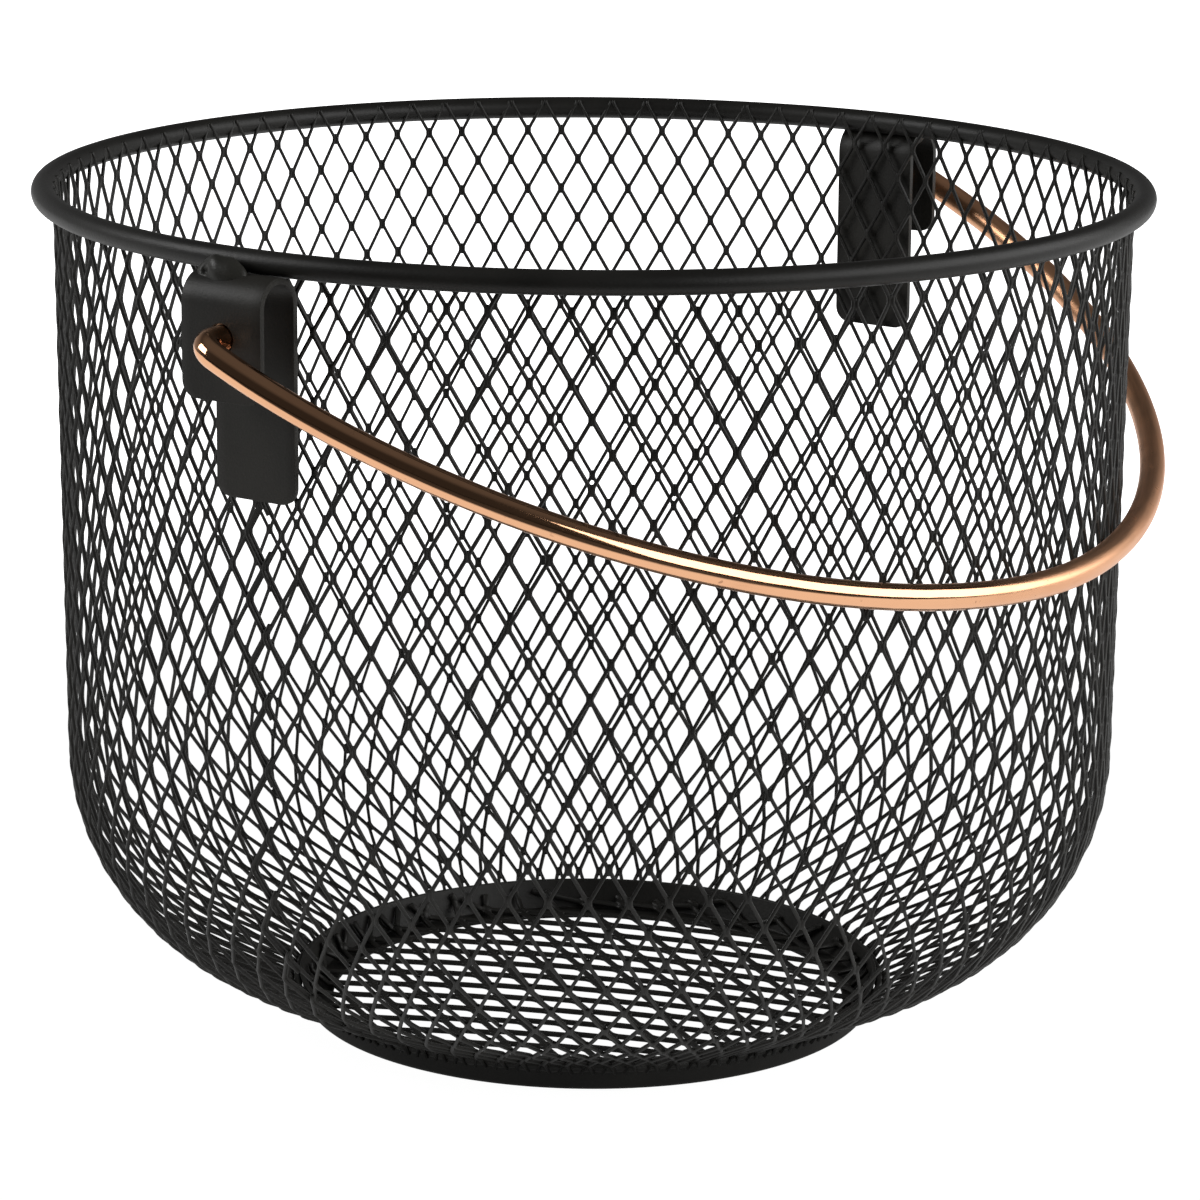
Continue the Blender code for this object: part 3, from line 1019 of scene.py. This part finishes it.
@dataclass
class StrapBracket:
    """One bracket: a steel strap bent into an upside-down U, its ends cornered round and its edges broken."""

    side: int
    finish: PowderCoat
    sheet: float = 1.3 * MM
    corner: float = 3.5 * MM
    corner_steps: int = 9
    bend_steps: int = 25
    leg_steps: int = 90
    columns: int = 9
    edge_break: float = 0.28 * MM
    edge_segments: int = 3
    edge_angle: float = math.radians(40.0)
    smooth_angle: float = math.radians(35.0)
    hole_radius: float = 3.05 * MM
    hole_sides: int = 56
    short_leg_drop: float = 26.3 * MM

    def build(self) -> None:
        """Make the bracket where the frame has it.

        The strap's middle line goes up the long leg, round a half circle and down the short leg. Near each end
        the half width shrinks by the corner radius times one minus the cosine, which rounds both corners.
        """
        node = sided("bracket", self.side)
        low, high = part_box(node)
        inner, outer = sorted((abs(low.x), abs(high.x)))
        radius = (outer - inner - self.sheet) / 2
        centre = (outer + inner) / 2
        bend_height = high.z - radius - self.sheet / 2
        rim_height = sum(corner.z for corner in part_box("rim_ring")) / 2
        ends = ((centre - radius, low.z), (centre + radius, rim_height - self.short_leg_drop))
        turn = np.linspace(math.pi, 0, self.bend_steps)
        bend = np.stack([centre + radius * np.cos(turn), bend_height + radius * np.sin(turn)], axis=1)
        rail = Rail(np.concatenate([[ends[0]], bend, [ends[1]]]))
        whole = rail.marks[-1]
        inset = self.corner * (1 - np.cos(np.linspace(0, math.pi / 2, self.corner_steps)))
        legs = np.linspace(inset[-1], whole - inset[-1], self.leg_steps)[1:-1]
        marks = np.concatenate([inset, legs, whole - inset[::-1]])
        cut = np.clip(1 - np.minimum(marks, whole - marks) / self.corner, 0, 1)
        half = high.y - self.corner * (1 - np.sqrt(1 - cut ** 2))
        spot = rail.at(marks)[0]
        across = np.linspace(-1, 1, self.columns)[None] * half[:, None]
        grid = np.stack([spot[:, :1] + 0 * across, across, spot[:, 1:] + 0 * across], axis=-1)
        if self.side < 0:
            grid = grid * (-1, -1, 1)
        index = np.arange(across.size).reshape(across.shape)
        quads = np.stack([index[:-1, :-1], index[:-1, 1:], index[1:, 1:], index[1:, :-1]], axis=-1)
        mesh = bpy.data.meshes.new(node + "_strap")
        mesh.from_pydata(grid.reshape(-1, 3).tolist(), [], quads.reshape(-1, 4).tolist())
        show(node + "_strap", self.worked(mesh, outer - self.sheet / 2), self.finish, Body.BASKET, node)

    def worked(self, mesh: bpy.types.Mesh, reach: float) -> bpy.types.Mesh:
        """Thicken the strap, drill its hole and break its edges.

        Args:
            mesh: The strap's middle surface.
            reach: Distance of the short leg's middle from the basket's axis.

        Returns:
            The finished mesh.
        """
        across, height = hinge()[1:]
        drill = bmesh.new()
        bmesh.ops.create_cone(drill, cap_ends=True, segments=self.hole_sides, radius1=self.hole_radius,
                              radius2=self.hole_radius, depth=3 * self.sheet,
                              matrix=Matrix.Translation((self.side * reach, across, height))
                              @ Matrix.Rotation(math.pi / 2, 4, "Y"))
        drill_mesh = bpy.data.meshes.new("drill")
        drill.to_mesh(drill_mesh)
        drill.free()
        strap, cutter = (bpy.data.objects.new(shape.name, shape) for shape in (mesh, drill_mesh))
        for work in (strap, cutter):
            bpy.context.scene.collection.objects.link(work)
        for kind, settings in (("SOLIDIFY", {"thickness": self.sheet, "offset": 0.0}),
                               ("BOOLEAN", {"object": cutter, "solver": "EXACT"}),
                               ("BEVEL", {"width": self.edge_break, "segments": self.edge_segments,
                                          "limit_method": "ANGLE", "angle_limit": self.edge_angle})):
            step = strap.modifiers.new(kind.lower(), kind)
            for name, value in settings.items():
                setattr(step, name, value)
        bpy.context.view_layer.update()
        made = bpy.data.meshes.new_from_object(strap.evaluated_get(bpy.context.evaluated_depsgraph_get()))
        for work in (strap, cutter):
            bpy.data.objects.remove(work, do_unlink=True)
        made.shade_smooth()
        made.set_sharp_from_angle(angle=self.smooth_angle)
        return made


@dataclass(frozen=True)
class Pit:
    """A dip in a bead, or a lump where its depth is negative: its place along and round, its size and depth."""

    along: float
    turn: float
    size: float
    depth: float

    def dip(self, along: Array, around: Array) -> Array:
        """Its depth times e to the minus square of the distance in sizes, with its turn counted half.

        Args:
            along: Places along the bead, from -1 to 1.
            around: Angles round the bead.

        Returns:
            The dip's depth at each place.
        """
        turned = np.angle(np.exp(1j * (around - self.turn)))
        away = np.square((along - self.along) / self.size) + np.square(turned / (2 * self.size))
        return self.depth * np.exp(-away)


@dataclass
class WeldBead:
    """One lumpy weld bead between the rim wire and a bracket's bend, under the powder coat."""

    side: int
    finish: PowderCoat
    half_length: float = 6.1 * MM
    depth: float = 2.7 * MM
    rise: float = 3.9 * MM
    sink: float = -1.15 * MM
    slide: float = 3.3 * MM
    drop: float = 2.5 * MM
    swells: tuple[float, float, float] = (0.07, 0.03, 0.04)
    phases: Span = (0.7, 2.9)
    pits: tuple[Pit, ...] = (Pit(0.10, -0.55, 0.085, 0.45), Pit(-0.50, 0.35, 0.13, 0.40),
                             Pit(-0.78, -0.3, 0.10, -0.35))
    blunt: float = 0.04
    rings: int = 56
    sides: int = 40

    def build(self) -> None:
        """Make the bead where the frame has it: a long ellipsoid whose radius swells and dips with waves along
        and round it, with two small pits and a lump.
        """
        node = sided("weld", self.side)
        low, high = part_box(node)
        centre = np.array([low, high], float).mean(axis=0)
        polar = np.linspace(self.blunt, math.pi - self.blunt, self.rings)[:, None]
        around = circle(self.sides)[None]
        along = -np.cos(polar)
        phase = self.phases[0 if self.side < 0 else 1]
        long, fine, round_it = self.swells
        lumps = (1 + long * np.sin(3.3 * along + 1.3 * np.sin(around) + phase)
                 + fine * np.sin(9 * along + 2 * around + 2 * phase) * np.sin(polar)
                 + round_it * np.sin(3 * around + 5 * along - phase))
        for pit in self.pits:
            lumps = lumps - pit.dip(along, around)
        radius = np.sqrt(np.maximum(1 - along ** 2, 0)) * lumps
        points = np.stack([self.side * radius * self.depth * np.cos(around),
                           self.side * (along * self.half_length + 0 * around),
                           radius * self.rise * np.sin(around)], axis=-1)
        points = points + centre - np.array([self.side * self.sink, self.side * self.slide, self.drop])
        shell = Shell()
        shell.add_tubes(points[None, :, ::-1])
        show(node + "_bead", shell.mesh(node + "_bead"), self.finish, Body.BASKET, node)


@dataclass
class CopperHandle:
    """The handle: one copper-plated wire, bowed into a half oval, its bent ends headed inside the brackets."""

    finish: CopperPlate = CopperPlate()
    wire: float = 2.75 * MM
    bend: float = 4.8 * MM
    bend_steps: int = 20
    head_overhang: float = 1.6 * MM
    head_length: float = 1.5 * MM
    head_dome: float = 0.55
    head_back: float = 0.35
    head_steps: int = 8
    head_tip: float = 0.05
    neck_gap: float = 0.3 * MM
    neck_swell: float = 0.15 * MM
    neck_length: float = 0.2 * MM
    leg_sheet: float = 1.3 * MM
    bow_power: float = 1.04
    bow_steps: int = 400
    sides: int = 32

    def half_line(self, half_width: float, reach: float, depth: float) -> tuple[Array, Array]:
        """One half of the wire's middle line, flat, from its head to the middle of the bow, and its thickness.

        The head and neck run straight inwards, a quarter circle turns them, and the bow is a half ellipse whose
        cosine and sine are raised to the bow's power.

        Args:
            half_width: Distance of the wire's middle from the basket's axis at the bend.
            reach: Distance of the bracket's inner leg face.
            depth: Distance of the bow's middle from the pivot line.

        Returns:
            Places as (outwards, away from the pivot line), and radii.
        """
        neck = reach - self.neck_gap
        dome = np.linspace(self.head_tip, 1.0, self.head_steps)
        head = self.wire + self.head_overhang
        level = np.concatenate([neck - self.head_length * (1 - dome ** 2 * self.head_dome),
                                [neck - self.head_back * self.head_length, neck, neck + self.neck_length]])
        turn = np.linspace(0, math.pi / 2, self.bend_steps)[1:-1]
        corner = np.stack([half_width - self.bend + self.bend * np.sin(turn), self.bend - self.bend * np.cos(turn)],
                          axis=1)
        angle = math.pi * np.arange(self.bow_steps // 2 + 1) / self.bow_steps
        bow = np.stack([half_width * np.maximum(np.cos(angle), 0) ** self.bow_power,
                        self.bend + (depth - self.bend) * np.sin(angle) ** self.bow_power], axis=1)
        line = np.concatenate([np.stack([level, 0 * level], axis=1), corner, bow])
        radii = np.concatenate([head * np.sqrt(1 - (1 - dome) ** 2), [head, self.wire + self.neck_swell, self.wire],
                                np.full(len(corner) + len(bow), self.wire)])
        return line, radii

    def build(self) -> None:
        """Make the wire where the frame has it."""
        low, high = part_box("handle")
        pivot = hinge()
        bow_height, bow_reach = low.z + self.wire, -(low.y + self.wire)
        depth = math.hypot(bow_reach, pivot[2] - bow_height)
        rest = math.atan2(pivot[2] - bow_height, bow_reach)
        line, radii = self.half_line(high.x - self.wire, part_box("bracket_right")[1].x - self.leg_sheet, depth)
        line = np.concatenate([line, (line[:-1] * (-1, 1))[::-1]])
        radii = np.concatenate([radii, radii[:-1][::-1]])
        over, away = np.array([1.0, 0.0, 0.0]), np.array([0.0, -math.cos(rest), -math.sin(rest)])
        middle = pivot + line[:, :1] * over + line[:, 1:] * away
        way = unit(np.gradient(line, axis=0))
        inwards = way[:, 1:] * over - way[:, :1] * away
        normal = np.cross(way[:, :1] * over + way[:, 1:] * away, inwards)
        angle = circle(self.sides)
        points = (middle[:, None] + radii[:, None, None] * (inwards[:, None] * np.cos(angle)[None, :, None]
                                                          + normal[:, None] * np.sin(angle)[None, :, None]))
        shell = Shell()
        shell.add_tubes(points[None])
        mesh = shell.mesh("handle_wire")
        gone = walked(line)
        left = (gone[-1] - gone)[:, None]
        strip = np.stack([left + 0 * angle, self.wire * np.cos(angle) + 0 * left,
                          self.wire * np.sin(angle) + 0 * left], axis=-1)
        mesh.attributes.new("strip", "FLOAT_VECTOR", "POINT").data.foreach_set(
            "vector", strip.reshape(-1).astype(np.float32))
        show("handle_wire", mesh, self.finish, Body.HANDLE, "handle")


@dataclass(frozen=True)
class SoftBox:
    """An upright soft box that faces the basket.

    Its azimuth is in degrees, 0 to the photographer's right and -90 towards the camera. Low and high are its
    edges' heights, and a level of 1 is white.
    """

    name: str
    azimuth: float
    distance: float
    low: float
    high: float
    width: float
    level: float

    def build(self) -> None:
        """Hang the box."""
        height = self.high - self.low
        data = bpy.data.lights.new(self.name, "AREA")
        data.shape = "RECTANGLE"
        data.size, data.size_y = self.width, height
        data.energy = self.level * math.pi * self.width * height
        lamp = bpy.data.objects.new(self.name, data)
        lamp.visible_camera = False
        bpy.context.scene.collection.objects.link(lamp)
        back = RIGHT * math.cos(math.radians(self.azimuth)) + AHEAD * math.sin(math.radians(self.azimuth))
        stand(lamp, np.cross(UP, back), UP, back, back * self.distance + UP * ((self.low + self.high) / 2))


def stand(thing: bpy.types.Object, right: Array, up: Array, back: Array, place: Array) -> None:
    """Place a lamp or camera by its own directions.

    Args:
        thing: The lamp or camera.
        right: The way to its right.
        up: The way to its top.
        back: The way behind it.
        place: Where it stands.
    """
    matrix = np.eye(4)
    matrix[:3] = np.stack([right, up, back, place], axis=1)
    thing.matrix_world = Matrix(matrix.tolist())


@dataclass
class Studio:
    """A plain white studio: the photograph's camera, a pale floor, soft boxes and a bright backdrop.

    Each span says where a light begins and where it is full: for the room's as the cosine to its direction or as
    the rise, for the floor's as a distance.
    """

    rim_radius: float = 0.1175
    camera_place: tuple[float, float, float] = (0.01691, -8.7755, 2.9543)
    elevation: float = 0.24343
    roll: float = 0.00812
    focal_pixels: float = 4852.74
    image_pixels: float = 1200.0
    sensor: float = 36.0
    clip_end: float = 20.0
    floor_half: float = 2.5
    floor_drop: float = 0.02 * MM
    floor_grey: float = 0.86
    floor_glow_share: float = 0.90
    table_span: Span = (-0.36, -0.26)
    table_glow: float = 1.05
    painted_shadow_glow: float = 0.25
    painted_shadow_span: Span = (0.065, 0.120)
    near_white: float = 1.09
    far_white: float = 2.0
    white_span: Span = (0.25, 0.60)
    room: float = 0.030
    ceiling: float = 0.10
    ceiling_span: Span = (0.60, 0.95)
    backdrop: float = 0.22
    backdrop_span: Span = (0.30, 0.90)
    backdrop_rise: Span = (0.05, 0.60)
    side_wall: float = 0.12
    side_span: Span = (0.60, 0.95)
    side_rise: Span = (0.55, 0.80)
    boxes: tuple[SoftBox, ...] = (SoftBox("soft_box_right", -18.0, 0.90, 0.16, 0.98, 1.7, 3.2),
                                  SoftBox("soft_box_left", 186.0, 0.95, 0.42, 1.10, 0.62, 6.0))

    def camera(self) -> None:
        """Place the camera where the photograph's was."""
        place = sum(self.rim_radius * share * axis for share, axis in zip(self.camera_place, (RIGHT, AHEAD, UP)))
        looks = AHEAD * math.cos(self.elevation) - UP * math.sin(self.elevation)
        rises = AHEAD * math.sin(self.elevation) + UP * math.cos(self.elevation)
        data = bpy.data.cameras.new("camera")
        data.sensor_width = self.sensor
        data.lens = self.focal_pixels / self.image_pixels * self.sensor
        data.clip_end = self.clip_end
        camera = bpy.data.objects.new("camera", data)
        bpy.context.scene.collection.objects.link(camera)
        stand(camera, RIGHT * math.cos(self.roll) + rises * math.sin(self.roll),
              rises * math.cos(self.roll) - RIGHT * math.sin(self.roll), -looks, place)
        bpy.context.scene.camera = camera

    def world(self) -> None:
        """Light from the room: dim all round, a little lighter overhead, low behind the object and at its left."""
        world = bpy.data.worlds.new("studio")
        bpy.context.scene.world = world
        world.use_nodes = True
        shader = Shader(world.node_tree)
        way = shader.value("ShaderNodeTexCoord", "Generated")
        behind, aside, rise = shader.along(way, AHEAD), shader.along(way, unit(AHEAD - RIGHT)), shader.part(way, "Z")
        level = (self.room + rise.smoothstep(*self.ceiling_span) * (self.ceiling - self.room)
                 + behind.smoothstep(*self.backdrop_span) * (1 - rise.smoothstep(*self.backdrop_rise))
                 * (self.backdrop - self.room)
                 + aside.smoothstep(*self.side_span) * (1 - rise.smoothstep(*self.side_rise)) * self.side_wall)
        shader.finish(shader.value("ShaderNodeBackground", 0, None,
                                   {"Color": (1.0, 1.0, 1.0),
                                    "Strength": level + shader.seen() * (self.far_white - level)}))

    def floor(self) -> None:
        """A pale light table that looks white to the camera everywhere and keeps the object's soft shadow.

        To the object it glows only up to its front edge, with darkness beyond, as a table does in a dim room. Round
        the basket's foot that glow is dimmed as a painted shadow.
        """
        corners = np.array([(-1, -1, 0), (1, -1, 0), (1, 1, 0), (-1, 1, 0)]) * self.floor_half
        mesh = bpy.data.meshes.new("floor")
        mesh.from_pydata((corners - UP * self.floor_drop).tolist(), [], [(0, 1, 2, 3)])
        floor = bpy.data.objects.new("floor", mesh)
        bpy.context.scene.collection.objects.link(floor)
        material, shader = new_material("pale_floor")
        place = shader.value("ShaderNodeTexCoord", "Object")
        reach = shader.value("ShaderNodeVectorMath", "Value", {"operation": "LENGTH"}, {0: place})
        # Painted shadow: the glow that lights the object is dimmed near the basket's foot.
        glow = (shader.along(place, AHEAD).smoothstep(*self.table_span)
                * (self.painted_shadow_glow + reach.smoothstep(*self.painted_shadow_span) * (self.table_glow - self.painted_shadow_glow)))
        white = self.near_white + reach.smoothstep(*self.white_span) * (self.far_white - self.near_white)
        paint = shader.value("ShaderNodeBsdfDiffuse", 0, None, {"Color": (self.floor_grey,) * 3})
        light = shader.value("ShaderNodeEmission", 0, None, {"Color": (1.0, 1.0, 1.0),
                                                             "Strength": glow + shader.seen() * (white - glow)})
        shader.finish(shader.value("ShaderNodeMixShader", 0, None, {0: self.floor_glow_share, 1: paint, 2: light}))
        mesh.materials.append(material)

    def build(self) -> None:
        """Set up the camera, the room, the floor and the lamps."""
        self.camera()
        self.world()
        self.floor()
        for box in self.boxes:
            box.build()
        bpy.context.scene.view_settings.view_transform = "Standard"


def main() -> None:
    """Build the studio, then the basket's pieces in order."""
    logging.basicConfig(level=logging.INFO, format="%(name)s: %(message)s")
    Studio().build()
    for part in (RimHoop(), WallSheet(), FootRing(), FloorSheet()):
        part.build()
    # The strap's coat is the same black powder coat, set lighter as painted light.
    strap = PowderCoat("powder_coat_strap_painted_lighter", Slot.STRAP, shade=(0.0135, 0.0128, 0.0110),
                       paler=(0.0230, 0.0215, 0.0180), roughness=0.48, unevenness=0.10)
    # The bead's coat is the same black powder coat, set lighter as painted light.
    bead = PowderCoat("powder_coat_bead_painted_lighter", Slot.WIRE, shade=(0.020, 0.0195, 0.0170), paler=(0.032, 0.031, 0.026),
                      roughness=0.42)
    for side in (-1, 1):
        StrapBracket(side, strap).build()
        WeldBead(side, bead).build()
    CopperHandle().build()


if __name__ == "__main__":
    main()
